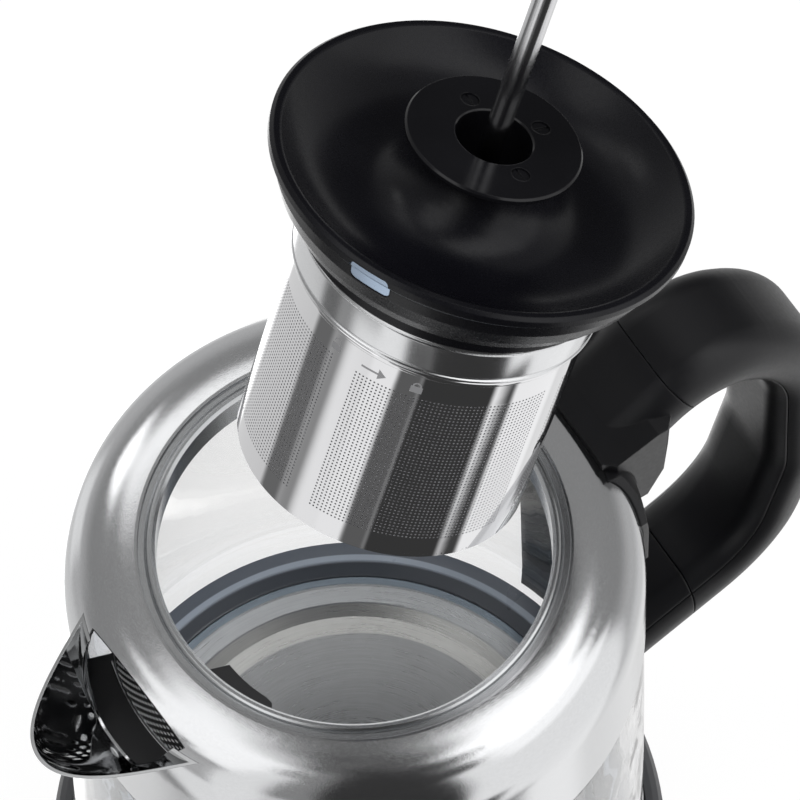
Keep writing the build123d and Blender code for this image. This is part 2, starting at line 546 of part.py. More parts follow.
cap = turned((
    (ROD_R, CAP_TOP - CAP_SHEET), (CAP_R - CAP_SHEET, CAP_TOP - CAP_SHEET), (CAP_R - CAP_SHEET, CAP_BOTTOM),
    (CAP_R, CAP_BOTTOM), (CAP_R, CAP_TOP - CAP_ROUND), (CAP_R - 0.4, CAP_TOP - 0.4),
    (CAP_R - CAP_ROUND, CAP_TOP), (ROD_R, CAP_TOP),
))
ramp_ring = ring(BASKET_R + 0.2, CAP_R - CAP_SHEET + 0.1, -33.4, -32.2)
lug_ring = ring(BASKET_R - 0.3, CAP_R - CAP_SHEET - 0.2, -31.8, -30.8)
basket = ring(BASKET_R - 0.5, BASKET_R, BASKET_BOTTOM + 2.0, BASKET_TOP)
basket += ring(BASKET_R - 0.4, BASKET_R + 0.5, CAP_BOTTOM - 1.9, CAP_BOTTOM - 0.9)
for k in range(LUGS):
    cap += ramp_ring & wedge(30.0 + 360.0 / LUGS * k, LUG_SPAN / 2)
    basket += lug_ring & wedge(30.0 + 360.0 / LUGS * k, LUG_SPAN / 2)
keep_infuser("basket_cap", cap)
nut = extrude(RegularPolygon(5.8, 6), 4.0)
nut = Pos(0, 0, CAP_TOP - CAP_SHEET - 4.0) * nut - post(ROD_R, -40, -10)
keep_infuser("cap_nut", nut)
keep_infuser("basket_wall", basket)
HEM_R = BASKET_R - 0.1
basket_base = turned((
    (0, BASKET_BOTTOM + 0.9), (33.0, BASKET_BOTTOM + 0.9), (34.6, BASKET_BOTTOM), (36.4, BASKET_BOTTOM),
    (HEM_R, BASKET_BOTTOM + 1.1), (HEM_R, BASKET_BOTTOM + 2.0), (HEM_R - 0.8, BASKET_BOTTOM + 2.0),
    (36.0, BASKET_BOTTOM + 0.7), (35.0, BASKET_BOTTOM + 0.7), (33.2, BASKET_BOTTOM + 1.5),
    (0, BASKET_BOTTOM + 1.5),
))
keep_infuser("basket_base", basket_base)


# ---------------------------------------------------------------- base
def console_prism(grow):
    """Front console, as a plan outline pushed up from the table."""
    half = CONSOLE_HALF + grow
    plan = Pos(0, (CONSOLE_Y - 40) / 2 - grow / 2) * Rectangle(2 * half, abs(CONSOLE_Y) - 40 + grow)
    plan = fillet(plan.vertices().sort_by(Axis.Y)[:2], 14.0 + grow)
    return plan


slope_angle = degrees(atan2(BASE_WELL_Z - CONSOLE_FRONT_Z, abs(CONSOLE_Y - CONSOLE_BACK_Y)))
PANEL_Y = (CONSOLE_BACK_Y + CONSOLE_Y) / 2 - 1.0
PANEL_Z = CONSOLE_FRONT_Z + (PANEL_Y - CONSOLE_Y) * tan(radians(slope_angle))
PANEL = Pos(0, PANEL_Y, PANEL_Z) * Rot(slope_angle, 0, 0)
above_slope = PANEL * block(-100, 100, -80, 80, 0, 60)
above_slope_in = PANEL * block(-100, 100, -80, 80, -BASE_WALL, 60)


def base_solid(inset):
    """Outside of the base, pulled in by the inset."""
    disc = turned((
        (0, 0), (BASE_R - 1.5 - inset, 0), (BASE_R - inset, 2.0),
        (BASE_R - 1.2 - inset, BASE_H - 4.0 - inset), (BASE_R - 2.6 - inset, BASE_H - 1.2 - inset),
        (BASE_R - 4.4 - inset, BASE_H - inset), (0, BASE_H - inset),
    ))
    lobe = extrude(console_prism(-inset), BASE_H)
    lobe -= above_slope_in if inset else above_slope
    return disc + lobe


GLAND_R = 3.8
GLAND_BORE = 2.6
GLAND_L = 8.0
GLAND_PLACE = Pos(14.0, BASE_R - 6.0, 8.0) * Rot(-90, 0, 0)
gland = GLAND_PLACE * (post(GLAND_R, 0, GLAND_L) - post(GLAND_BORE, -1, GLAND_L + 1))

well = post(BASE_WELL_R, BASE_WELL_Z, 60)
inner = base_solid(BASE_WALL) - post(BASE_WELL_R + BASE_WALL, BASE_WELL_Z - BASE_WALL, 60)
shell = base_solid(0.0) - well - inner
shell -= post(POST_R - 2.2, 0, 60)
panel_face = Rectangle(2 * CONSOLE_HALF - 7, 25)
panel_face = fillet(panel_face.vertices(), 5)
PANEL_T = 0.8
shell -= PANEL * extrude(Pos(0, 0, -PANEL_T) * panel_face, 4)
panel_film = extrude(Pos(0, 0, -PANEL_T) * panel_face, PANEL_T)
display_cut = block(-13, 13, -5.5, 5.5, -PANEL_T - 0.1, 5)
for x in BUTTON_X:
    hole = post(BUTTON_R + BUTTON_GAP, -10, 10, x, 0)
    shell -= PANEL * hole
    panel_film -= hole
panel_film -= display_cut
shell -= PANEL * block(-11, 11, -4, 4, -10, 5)
shell -= GLAND_PLACE * post(GLAND_R + 0.05, 0, 30)
keep("base_shell", shell.solids().sort_by(SortBy.VOLUME)[-1])
keep("control_panel", PANEL * panel_film)
keep("display_window", PANEL * block(-12.9, 12.9, -5.4, 5.4, -PANEL_T, -0.1))

for name, x in zip(BUTTON_NAMES, BUTTON_X):
    button = turned((
        (0, -4.2), (BUTTON_R, -4.2), (BUTTON_R, BUTTON_PROUD - 0.6), (BUTTON_R - 0.6, BUTTON_PROUD),
        (0, BUTTON_PROUD - 0.35),
    ))
    keep(name, PANEL * Pos(x, 0, 0) * button)

board = PANEL * block(-42, 42, -10, 10, -7.6, -6.2)
board += PANEL * block(-12, 12, -5, 5, -6.2, -4.2)
keep("control_board", board)

UNDER_T = 1.8
HUB_R = 15.0             # flat hub in the middle of the underside, on the origin
base_under = base_solid(BASE_WALL + 0.3) & block(-200, 200, -200, 200, 0.6, 0.6 + UNDER_T)
base_under += post(HUB_R, 0.0, 0.6 + UNDER_T)
VENTS = 6
for k in range(VENTS):
    base_under -= Rot(0, 0, 60 * k + 30) * block(52, 66, -1.6, 1.6, 0, 5)
FOOT_PLACES = ((62.0, 40.0), (-62.0, 40.0), (30.0, -104.0), (-30.0, -104.0))
FOOT_R = 7.0
BASE_SCREWS = ((0.0, 74.0), (70.0, -30.0), (-70.0, -30.0))
BASE_SCREW_R = 3.0
for x, y in FOOT_PLACES:
    base_under -= post(FOOT_R, -1, 1.6, x, y)
for x, y in BASE_SCREWS:
    base_under -= post(BASE_SCREW_R, -1, 5, x, y)
keep("base_underside", base_under)
feet = [post(FOOT_R - 0.05, 0.0, 1.6, x, y) for x, y in FOOT_PLACES]
keep("base_feet", Compound(children=feet))
base_screws = []
for x, y in BASE_SCREWS:
    screw = post(BASE_SCREW_R - 0.05, 1.0, 2.4, x, y) - block(x - 2, x + 2, y - 0.4, y + 0.4, 0.9, 1.5)
    base_screws.append(screw.solids()[0])
keep("base_screws", Compound(children=base_screws))

base_post = turned((
    (POST_R - 2.4, BASE_WELL_Z - 6.0), (POST_R + 5.0, BASE_WELL_Z - 6.0),
    (POST_R + 5.0, BASE_WELL_Z - BASE_WALL),
    (POST_R - 2.4, BASE_WELL_Z - BASE_WALL),
))
base_post += ring(4.0, POST_R - 2.4, BASE_WELL_Z - 6.0, POST_TOP)
keep("base_connector", base_post)
keep("contact_pin", post(3.9, BASE_WELL_Z - 8.0, POST_TOP - 1.0))
keep("cord_gland", gland)
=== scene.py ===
import json
import math

import bmesh
import bpy
from mathutils import Matrix, Vector


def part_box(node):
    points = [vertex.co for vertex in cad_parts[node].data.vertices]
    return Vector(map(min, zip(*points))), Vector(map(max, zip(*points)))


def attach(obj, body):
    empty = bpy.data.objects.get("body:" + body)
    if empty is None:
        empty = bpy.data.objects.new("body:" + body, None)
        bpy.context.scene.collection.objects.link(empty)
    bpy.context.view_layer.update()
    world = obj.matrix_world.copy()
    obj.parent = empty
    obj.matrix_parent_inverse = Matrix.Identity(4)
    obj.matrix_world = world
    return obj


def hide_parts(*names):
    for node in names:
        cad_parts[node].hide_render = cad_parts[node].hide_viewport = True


# Automatic tea maker: finishes, perforated sheets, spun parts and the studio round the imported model.
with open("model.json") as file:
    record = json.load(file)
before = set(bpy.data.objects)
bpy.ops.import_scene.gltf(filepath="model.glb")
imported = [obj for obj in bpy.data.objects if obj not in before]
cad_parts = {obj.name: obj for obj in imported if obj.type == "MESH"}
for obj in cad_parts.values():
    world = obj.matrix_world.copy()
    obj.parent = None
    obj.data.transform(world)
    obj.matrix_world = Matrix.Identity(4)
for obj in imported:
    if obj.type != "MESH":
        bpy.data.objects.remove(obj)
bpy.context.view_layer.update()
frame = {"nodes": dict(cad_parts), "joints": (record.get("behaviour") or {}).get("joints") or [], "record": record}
nodes = frame["nodes"]
joints = {joint["name"]: joint for joint in frame["joints"]}

MM = 0.001
TURN_STEPS = 192         # faces round a spun part
ROUND_STEPS = 5          # chords in a rounded corner
ROUND_SHARE = 0.49       # most of a side that one rounded corner takes
SHARP_EDGE = math.radians(32)
MERGE = 1e-7             # points nearer than this are one, in metres
CELL_MERGE = 1e-6        # the same, where the cells of a pattern meet
SQUARE = ((1, 1), (-1, 1), (-1, -1), (1, -1))  # corners in turn


# ---------------------------------------------------------------- places
LID_CENTRE = Vector(joints["basket_twist"]["pos_m"])
LEAN_AXIS = Vector(joints["basket_twist"]["axis"]).normalized()
LEAN_AZ = math.atan2(LEAN_AXIS.y, LEAN_AXIS.x)
LEAN = math.acos(LEAN_AXIS.z)
LEANING = (
    Matrix.Translation(LID_CENTRE)
    @ Matrix.Rotation(LEAN_AZ, 4, "Z")
    @ Matrix.Rotation(LEAN, 4, "Y")
    @ Matrix.Rotation(-LEAN_AZ, 4, "Z")
)
SPOUT_PULL = Vector(joints["filter_pull"]["axis"])
SPOUT_AZ = math.atan2(-SPOUT_PULL.y, -SPOUT_PULL.x)
TOWARDS_SPOUT = Matrix.Rotation(SPOUT_AZ, 4, "Z")
BASKET_R = 37.8 * MM
BASKET_WALL = 0.5 * MM
BASKET_SKIN = 0.06 * MM  # depth down to which the sheet is polished, at the edge of a hole
BASKET_BARE = 0.32 * MM  # depth from which it is dull
FILTER_R = 66.6 * MM     # outside of the spout's curved filter plate
FILTER_SHEET = 0.4 * MM
FILTER_SKIN = 0.03 * MM  # thickness of the painted dark reflection on each side of the plate
MARK_Z = -41.3           # height of the basket's marks from the lid's rim plane, in millimetres
MARK_AZ = (-168.0, -151.0, -134.0)  # the open padlock, the arrow and the closed padlock, in degrees


# ---------------------------------------------------------------- node maths
class Value:
    """A number, colour or shape that a node gives. Arithmetic on it adds Math nodes."""

    def __init__(self, owner, socket):
        self.owner = owner
        self.socket = socket

    def math(self, operation, *others):
        return self.owner.node("ShaderNodeMath", {"operation": operation}, (self, *others))

    def __add__(self, other):
        return self.math("ADD", other)

    def __sub__(self, other):
        return self.math("SUBTRACT", other)

    def __mul__(self, other):
        return self.math("MULTIPLY", other)

    def __truediv__(self, other):
        return self.math("DIVIDE", other)

    def __rsub__(self, other):
        return self.owner.node("ShaderNodeMath", {"operation": "SUBTRACT"}, (other, self))

    __radd__ = __add__
    __rmul__ = __mul__

    def larger(self, other):
        return self.math("MAXIMUM", other)

    def smaller(self, other):
        return self.math("MINIMUM", other)

    def size(self):
        """The number without its sign."""
        return self.math("ABSOLUTE")

    def reach(self, other):
        """Length of the slanting line over two square sides."""
        return (self * self + other * other).math("POWER", 0.5)

    def step(self, low, high):
        """0 below low, 1 above high, smooth between."""
        limits = {"Value": self, "From Min": low, "From Max": high}
        return self.owner.node("ShaderNodeMapRange", {"interpolation_type": "SMOOTHSTEP"}, limits)

    def within(self, low, high, soft):
        """1 between two limits, 0 elsewhere, with soft edges."""
        return self.step(low - soft, low + soft) * (1 - self.step(high - soft, high + soft))


class Nodes:
    """A node tree that one method fills."""

    def __init__(self, tree):
        self.tree = tree

    def put(self, socket, value):
        if isinstance(value, Value):
            self.tree.links.new(value.socket, socket)
        else:
            socket.default_value = value

    def node(self, kind, settings=None, inputs=(), output=0):
        made = self.tree.nodes.new(kind)
        for key, value in (settings or {}).items():
            setattr(made, key, value)
        pairs = inputs.items() if isinstance(inputs, dict) else enumerate(inputs)
        for place, value in pairs:
            self.put(made.inputs[place], value)
        return Value(self, made.outputs[output])

    def parts(self, spot):
        """The three numbers of a place."""
        x = self.node("ShaderNodeSeparateXYZ", None, (spot,))
        return [Value(self, output) for output in x.socket.node.outputs]

    def joined(self, x, y, z):
        """A place from its three numbers."""
        return self.node("ShaderNodeCombineXYZ", None, (x, y, z))

    def ray(self, kind):
        """1 for rays of one kind, 0 for the others."""
        return self.node("ShaderNodeLightPath", output=kind)


class Finish(Nodes):
    """A procedural material with one principled shader."""

    def __init__(self, name, **constants):
        self.material = bpy.data.materials.new(name)
        self.material.use_nodes = True
        super().__init__(self.material.node_tree)
        self.shader = self.tree.nodes["Principled BSDF"]
        for socket, value in constants.items():
            self.set(socket.replace("_", " "), value)

    def set(self, socket, value):
        self.put(self.shader.inputs[socket], value)

    def place(self, matrix=None):
        """Object coordinates, or coordinates in a leaning frame."""
        spot = self.node("ShaderNodeTexCoord", output="Object")
        if matrix is None:
            return spot
        inputs = {"Vector": spot, "Location": matrix.to_translation(), "Rotation": matrix.to_euler()}
        return self.node("ShaderNodeMapping", {"vector_type": "TEXTURE"}, inputs)

    def round_axis(self, matrix=None):
        """Angle, radius and height round the upright or leaning axis, in radians and metres."""
        x, y, z = self.parts(self.place(matrix))
        return y.math("ARCTAN2", x), x.reach(y), z

    def noise(self, spot, scale, detail=3.0, roughness=0.5):
        inputs = {"Vector": spot, "Scale": scale, "Detail": detail, "Roughness": roughness}
        return self.node("ShaderNodeTexNoise", None, inputs)

    def streaks(self, axis, scales, detail, roughness=0.5):
        """Noise round an axis, with a scale each for the angle, the radius and the height."""
        spot = self.joined(*[value * scale for value, scale in zip(axis, scales)])
        return self.noise(spot, 1.0, detail, roughness)

    def blend(self, factor, first, second):
        """Mix of two colours."""
        return self.node("ShaderNodeMix", {"data_type": "RGBA"}, {0: factor, 6: first, 7: second}, output=2)

    def banded(self, shade, radius, bands):
        """Colour with rings of other tones: (inner radius, outer radius, tone), in millimetres."""
        for low, high, tone in bands:
            shade = self.blend(radius.within(low * MM, high * MM, BAND_SOFT), shade, tone)
        return shade

    def relief(self, height, depth, edge=0.0):
        """Bump from a height between 0 and 1, over edges rounded by a small radius."""
        inputs = {"Height": height, "Distance": depth, "Strength": 1.0}
        if edge:
            inputs["Normal"] = self.node("ShaderNodeBevel", {"samples": 4}, {"Radius": edge})
        self.set("Normal", self.node("ShaderNodeBump", None, inputs))

    def show(self, other, factor):
        """Lets another shader show in place of the principled one, by a factor."""
        own = Value(self, self.shader.outputs[0])
        mixed = self.node("ShaderNodeMixShader", None, (factor, own, other))
        self.put(self.tree.nodes["Material Output"].inputs["Surface"], mixed)


def toned(colour, factor, lift=0.0):
    """The same colour, lighter or darker."""
    return (*[c * factor + lift for c in colour[:3]], 1)


# ---------------------------------------------------------------- finishes
def brushed_steel(name, colour, roughness, matrix=None, grain=1.0):
    """Sheet steel with fine grinding lines round the axis."""
    finish = Finish(name, Base_Color=colour, Metallic=1.0)
    axis = finish.round_axis(matrix)
    lines = finish.streaks(axis, (60.0, 5200.0, 5200.0), detail=3.0, roughness=0.6)
    cloud = finish.streaks(axis, (6.0, 180.0, 180.0), detail=2.0)
    speck = finish.noise(finish.place(matrix), 2600.0, 2.0, 0.7)
    mark = lines * 0.55 + speck * 0.45
    finish.set("Roughness", (mark - 0.5) * 0.22 * grain + (cloud - 0.5) * 0.06 + roughness)
    finish.set("Base Color", finish.blend(mark.step(0.25, 0.75), toned(colour, 0.9), colour))
    finish.relief(mark, 0.012 * MM * grain, 0.25 * MM)
    return finish.material


def polished_steel(name, colour, roughness):
    """Polished sheet with faint wiping marks."""
    finish = Finish(name, Base_Color=colour, Metallic=1.0)
    cloud = finish.noise(finish.place(), 55.0)
    upright = finish.node("ShaderNodeMapping", None, {"Vector": finish.place(), "Scale": (1, 1, 0.1)})
    wipe = finish.noise(upright, 900.0, 2.0)
    finish.set("Roughness", (cloud * wipe - 0.2) * 0.12 + roughness)
    finish.relief(cloud, 0.03 * MM, 0.15 * MM)
    return finish.material


# Sizes of the etched marks in millimetres, from the middle of each and from MARK_Z.
MARK_SOFT = 0.05
LOCK_HALF = 1.5          # half width of a padlock's body
LOCK_DEEP = 2.0
LOCK_BOW = (0.75, 1.15)  # inside and outside of its shackle
LOCK_LIFT = 0.7          # how far the open shackle is drawn out
ARROW_HALF = 3.4
ARROW_NECK = 1.2         # where the arrow's head begins
ARROW_Z = -0.9
ARROW_THICK = 0.6
ARROW_SLOPE = 0.75


def basket_marks(angle, height):
    """Etched marks under the cap: an open padlock, an arrow and a closed padlock."""
    opened, arrow, closed = [(angle - math.radians(azimuth)) * BASKET_R / MM for azimuth in MARK_AZ]
    up = height / MM - MARK_Z
    shaft = up.within(ARROW_Z - ARROW_THICK / 2, ARROW_Z + ARROW_THICK / 2, MARK_SOFT)
    shaft = shaft * arrow.within(-ARROW_HALF, ARROW_NECK + 0.2, MARK_SOFT)
    slant = (up - ARROW_Z).size() + (arrow - ARROW_HALF) * ARROW_SLOPE
    head = (1 - slant.step(-MARK_SOFT, MARK_SOFT)) * arrow.step(ARROW_NECK, ARROW_NECK + 0.1)
    marks = shaft.larger(head)
    for lock, lift in ((opened, LOCK_LIFT), (closed, 0.0)):
        body = lock.within(-LOCK_HALF, LOCK_HALF, MARK_SOFT) * up.within(-LOCK_DEEP, 0.0, MARK_SOFT)
        bow = lock.reach(up - 0.1 - lift).within(*LOCK_BOW, MARK_SOFT) * up.step(lift, lift + 0.1)
        legs = lock.size().within(*LOCK_BOW, MARK_SOFT) * up.within(-0.1, lift + 0.1, MARK_SOFT)
        held = lock.step(-0.2, 0.0) if lift else 1.0
        marks = marks.larger(bow + legs * held + body)
    return marks.smaller(1.0)


DULL_SHEET_PAINTED_LIT = (0.8, 0.8, 0.82, 1)
ETCHED_SHEET = (0.3, 0.3, 0.31, 1)
PAINTED_DARK_REFLECTION_PLATE = (0.02, 0.02, 0.022, 1)
PAINTED_GLINT_PLATE = (0.85, 0.86, 0.88, 1)


def basket_finish(name, colour, roughness):
    """Polished sheet outside; duller inside and in the holes, and paler there as painted light for the lit inside
    seen through the holes.
    """
    finish = Finish(name, Base_Color=colour, Metallic=1.0)
    angle, radius, height = finish.round_axis(LEANING)
    inside = 1 - radius.step(BASKET_R - BASKET_BARE, BASKET_R - BASKET_SKIN)
    marked = basket_marks(angle, height)
    cloud = finish.noise(finish.place(LEANING), 55.0)
    finish.set("Roughness", (cloud - 0.5) * 0.03 + inside * 0.5 + marked * 0.4 + roughness)
    finish.set("Metallic", 1 - inside.larger(marked) * 0.75)
    # Paler tone inside and in the holes: painted light for the lit inside of the basket. The duller finish there
    # is real.
    shade = finish.blend(inside, colour, DULL_SHEET_PAINTED_LIT)
    finish.set("Base Color", finish.blend(marked, shade, ETCHED_SHEET))
    finish.relief(cloud, 0.03 * MM)
    return finish.material


def punched_plate(name):
    """Polished plate painted near black as a dark reflection, with painted glints on the walls of its punched
    holes.
    """
    finish = Finish(name)
    radius = finish.round_axis()[1]
    # The walls of the holes are painted bright as glints, and the rest is painted near black as a dark reflection.
    glint_walls = radius.within(FILTER_R - FILTER_SHEET + FILTER_SKIN, FILTER_R - FILTER_SKIN, 0.02 * MM)
    cloud = finish.noise(finish.place(), 80.0)
    finish.set("Base Color", finish.blend(glint_walls, PAINTED_DARK_REFLECTION_PLATE, PAINTED_GLINT_PLATE))
    finish.set("Roughness", (cloud - 0.5) * 0.1 + 0.2)
    return finish.material


BAND_SOFT = 0.25 * MM    # blur of the edge between two tones
WORN_TONE = 0.82


def spun_steel(name, colour, roughness, bands=()):
    """Flat steel with turning marks round its centre, worn streaks and any rings of painted reflection given as
    bands.
    """
    finish = Finish(name, Base_Color=colour, Metallic=1.0)
    axis = finish.round_axis()
    rings = finish.streaks(axis, (3.0, 2400.0, 300.0), detail=3.0, roughness=0.6)
    haze = finish.noise(finish.place(), 38.0, 4.0, 0.6)
    worn = (rings * 0.6 + haze * 0.4).step(0.3, 0.7)
    worn_bands = [(low, high, toned(tone, WORN_TONE)) for low, high, tone in bands]
    light = finish.banded(colour, axis[1], bands)
    dark = finish.banded(toned(colour, WORN_TONE), axis[1], worn_bands)
    finish.set("Base Color", finish.blend(worn, dark, light))
    finish.set("Roughness", (rings - 0.5) * 0.2 + (haze - 0.5) * 0.1 + roughness)
    finish.relief(rings, 0.02 * MM, 0.3 * MM)
    return finish.material


def moulded(name, colour, roughness, depth=0.015, edge=0.4, specular=0.5):
    """Injection-moulded plastic with a fine spark-eroded grain; depth and edge are in millimetres."""
    finish = Finish(name, Base_Color=colour, Specular_IOR_Level=specular)
    pits = finish.noise(finish.place(), 900.0, 2.0, 0.6)
    cloud = finish.noise(finish.place(), 30.0)
    finish.set("Roughness", (pits - 0.5) * 0.14 + (cloud - 0.5) * 0.08 + roughness)
    finish.set("Base Color", finish.blend(cloud.step(0.35, 0.75), colour, toned(colour, 1.35, 0.001)))
    finish.relief(pits, depth * MM, edge * MM)
    return finish.material


def rubber_seal(name, colour, bands):
    """Smooth silicone, with paler blue-grey rings of painted reflection on the lips that stand round the heater.
    """
    finish = Finish(name)
    radius = finish.round_axis()[1]
    cloud = finish.noise(finish.place(), 60.0)
    finish.set("Base Color", finish.banded(colour, radius, bands))
    finish.set("Roughness", (cloud - 0.5) * 0.15 + 0.3)
    finish.relief(cloud, 0.02 * MM, 0.2 * MM)
    return finish.material


GLASS_TINT = (0.93, 0.955, 0.975, 1)


def clear_glass(name):
    """Clear borosilicate glass that lets light through to what it holds."""
    finish = Finish(name, Base_Color=(1.0, 1.0, 1.0, 1), Transmission_Weight=1.0, IOR=1.46)
    ripple = finish.noise(finish.place(), 14.0, 2.0)
    finish.set("Roughness", ripple * 0.02)
    finish.relief(ripple, 0.05 * MM)
    through = finish.node("ShaderNodeBsdfTransparent", None, {"Color": GLASS_TINT})
    finish.show(through, finish.ray("Is Shadow Ray").larger(finish.ray("Is Diffuse Ray")))
    return finish.material


SOLDER_MASK = (0.02, 0.16, 0.07, 1)
COVERED_TRACK = (0.05, 0.26, 0.1, 1)


def circuit_board(name):
    """Green solder mask with copper tracks just showing."""
    finish = Finish(name, Base_Color=SOLDER_MASK, Roughness=0.35)
    tracks = finish.node("ShaderNodeTexBrick", None, {"Vector": finish.place(), "Scale": 160.0}, output="Fac")
    finish.set("Base Color", finish.blend(tracks, SOLDER_MASK, COVERED_TRACK))
    finish.relief(tracks, 0.05 * MM)
    return finish.material


STEEL = (0.62, 0.625, 0.635, 1)
# Rings of painted reflection on the heater plate, in millimetres: two lighter rings by the step and a darker
# blue-grey ring outside them.
HEATER_REFLECTION_RINGS = (
    (51, 60, (0.43, 0.43, 0.42, 1)),
    (60, 66, (0.33, 0.34, 0.35, 1)),
    (66, 75, (0.15, 0.18, 0.21, 1)),
)
# Rings of painted reflection on the seal's lips, in millimetres: a pale blue-grey ring and a dim one outside it.
SEAL_REFLECTION_RINGS = (
    (72.4, 74.4, (0.32, 0.35, 0.4, 1)),
    (74.4, 90, (0.09, 0.1, 0.12, 1)),
)
FINISHES = {
    "brushed_steel": brushed_steel("brushed_steel", STEEL, 0.12, grain=1.3),
    "rim_steel": brushed_steel("rim_steel", (0.56, 0.57, 0.58, 1), 0.2, grain=0.6),
    "polished_steel": polished_steel("polished_steel", (0.46, 0.465, 0.47, 1), 0.05),
    "heater_steel": spun_steel("heater_steel", (0.27, 0.275, 0.28, 1), 0.3, HEATER_REFLECTION_RINGS),
    "mesh_steel": punched_plate("mesh_steel"),
    "cap_steel": brushed_steel("cap_steel", (0.66, 0.665, 0.675, 1), 0.16, LEANING, 0.6),
    "basket_steel": basket_finish("basket_steel", (0.66, 0.66, 0.67, 1), 0.035),
    "rod_steel": brushed_steel("rod_steel", (0.6, 0.6, 0.61, 1), 0.17, LEANING, 0.5),
    "clip_steel": brushed_steel("clip_steel", (0.42, 0.52, 0.66, 1), 0.3, LEANING),
    "fastener_steel": polished_steel("fastener_steel", STEEL, 0.15),
    "spreader_aluminium": spun_steel("spreader_aluminium", (0.75, 0.75, 0.76, 1), 0.4),
    "contact_brass": polished_steel("contact_brass", (0.78, 0.6, 0.28, 1), 0.18),
    "jug_glass": clear_glass("jug_glass"),
    "base_plastic": moulded("base_plastic", (0.055, 0.056, 0.06, 1), 0.42),
    "black_plastic": moulded("black_plastic", (0.012, 0.012, 0.013, 1), 0.4),
    "handle_plastic": moulded(
        "handle_plastic", (0.004, 0.004, 0.005, 1), 0.4, depth=0.01, edge=0.7, specular=0.35),
    "lid_satin": moulded("lid_satin", (0.0035, 0.0035, 0.005, 1), 0.27, depth=0.012, specular=0.22),
    "flange_gloss": moulded(
        "flange_gloss", (0.004, 0.004, 0.005, 1), 0.14, depth=0.004, edge=0.3, specular=0.3),
    "panel_gloss": moulded("panel_gloss", (0.006, 0.006, 0.007, 1), 0.1, depth=0.003, edge=0.2),
    "button_gloss": moulded("button_gloss", (0.02, 0.02, 0.022, 1), 0.2, depth=0.004, edge=0.5),
    "display_glass": moulded("display_glass", (0.012, 0.02, 0.03, 1), 0.06, depth=0.002, edge=0.2),
    "feet_rubber": moulded("feet_rubber", (0.02, 0.02, 0.02, 1), 0.7, depth=0.03),
    "silicone": rubber_seal("silicone", (0.05, 0.055, 0.065, 1), SEAL_REFLECTION_RINGS),
    "circuit_board": circuit_board("circuit_board"),
}
for part in frame["record"]["subparts"]:
    solid = nodes[part["node"]]
    solid.data.materials.clear()
    solid.data.materials.append(FINISHES[part["material_slot"]])


# ---------------------------------------------------------------- making pieces
def as_mesh(work, name):
    """Plain mesh of a finished bmesh."""
    mesh = bpy.data.meshes.new(name)
    work.to_mesh(mesh)
    work.free()
    return mesh


def new_piece(name, mesh, slot, matrix):
    """Object for a finished mesh, placed in its mesh and given its finish."""
    mesh.transform(matrix)
    mesh.materials.clear()
    mesh.materials.append(FINISHES[slot])
    for face in mesh.polygons:
        face.use_smooth = True
    mesh.set_sharp_from_angle(angle=SHARP_EDGE)
    piece = bpy.data.objects.new(name, mesh)
    bpy.context.scene.collection.objects.link(piece)
    return piece


def rounded(corners):
    """Closed outline through corners (x, y, radius), with each round as a short arc."""
    points = []
    for k, (x, y, radius) in enumerate(corners):
        here = Vector((x, y))
        if not radius:
            points.append(here)
            continue
        before = Vector(corners[k - 1][:2]) - here
        after = Vector(corners[(k + 1) % len(corners)][:2]) - here
        half = before.angle(after) / 2
        reach = min(radius / math.tan(half), ROUND_SHARE * before.length, ROUND_SHARE * after.length)
        radius = reach * math.tan(half)
        centre = here + (before.normalized() + after.normalized()).normalized() * radius / math.sin(half)
        first = here + before.normalized() * reach - centre
        last = here + after.normalized() * reach - centre
        sweep = first.angle_signed(last)
        for step in range(ROUND_STEPS + 1):
            points.append(centre + Matrix.Rotation(-sweep * step / ROUND_STEPS, 2) @ first)
    return points


def spun(name, corners, slot, matrix):
    """Solid of revolution about the axis from a closed outline in millimetres."""
    work = bmesh.new()
    rings = []
    for radius, height in rounded(corners):
        if not radius:
            pole = work.verts.new((0, 0, height * MM))
            rings.append([pole] * TURN_STEPS)
            continue
        ring = []
        for k in range(TURN_STEPS):
            angle = math.tau * k / TURN_STEPS
            place = (radius * math.cos(angle) * MM, radius * math.sin(angle) * MM, height * MM)
            ring.append(work.verts.new(place))
        rings.append(ring)
    for a, b in zip(rings, rings[1:] + rings[:1]):
        for k in range(TURN_STEPS):
            after = (k + 1) % TURN_STEPS
            corners_left = list(dict.fromkeys((a[k], a[after], b[after], b[k])))
            if len(corners_left) > 2:
                work.faces.new(corners_left)
    bmesh.ops.remove_doubles(work, verts=work.verts, dist=MERGE)
    bmesh.ops.recalc_face_normals(work, faces=work.faces)
    return new_piece(name, as_mesh(work, name), slot, matrix)


# ---------------------------------------------------------------- perforated sheet
HOLE_SIDES = 8           # two for each corner of its cell


def hole_cell(name, width, height, radius, thickness):
    """One rectangle of sheet with an eight-sided hole, standing in the XZ plane."""
    work = bmesh.new()
    layers = []
    for y in (0.0, -thickness):
        ring = []
        for k in range(HOLE_SIDES):
            angle = math.pi / HOLE_SIDES + math.tau / HOLE_SIDES * k
            ring.append(work.verts.new((radius * math.cos(angle), y, radius * math.sin(angle))))
        square = [work.verts.new((sx * width / 2, y, sz * height / 2)) for sx, sz in SQUARE]
        layers.append((ring, square))
    for (ring, square), front in zip(layers, (True, False)):
        for k, corner in enumerate(square):
            following = square[(k + 1) % len(square)]
            near = ring[2 * k]
            far = ring[2 * k + 1]
            beyond = ring[(2 * k + 2) % HOLE_SIDES]
            for face in ((corner, far, near), (corner, following, beyond, far)):
                work.faces.new(face if front else tuple(reversed(face)))
    front_ring, back_ring = layers[0][0], layers[1][0]
    for k in range(HOLE_SIDES):
        after = (k + 1) % HOLE_SIDES
        work.faces.new((front_ring[k], front_ring[after], back_ring[after], back_ring[k]))
    return bpy.data.objects.new(name, as_mesh(work, name))


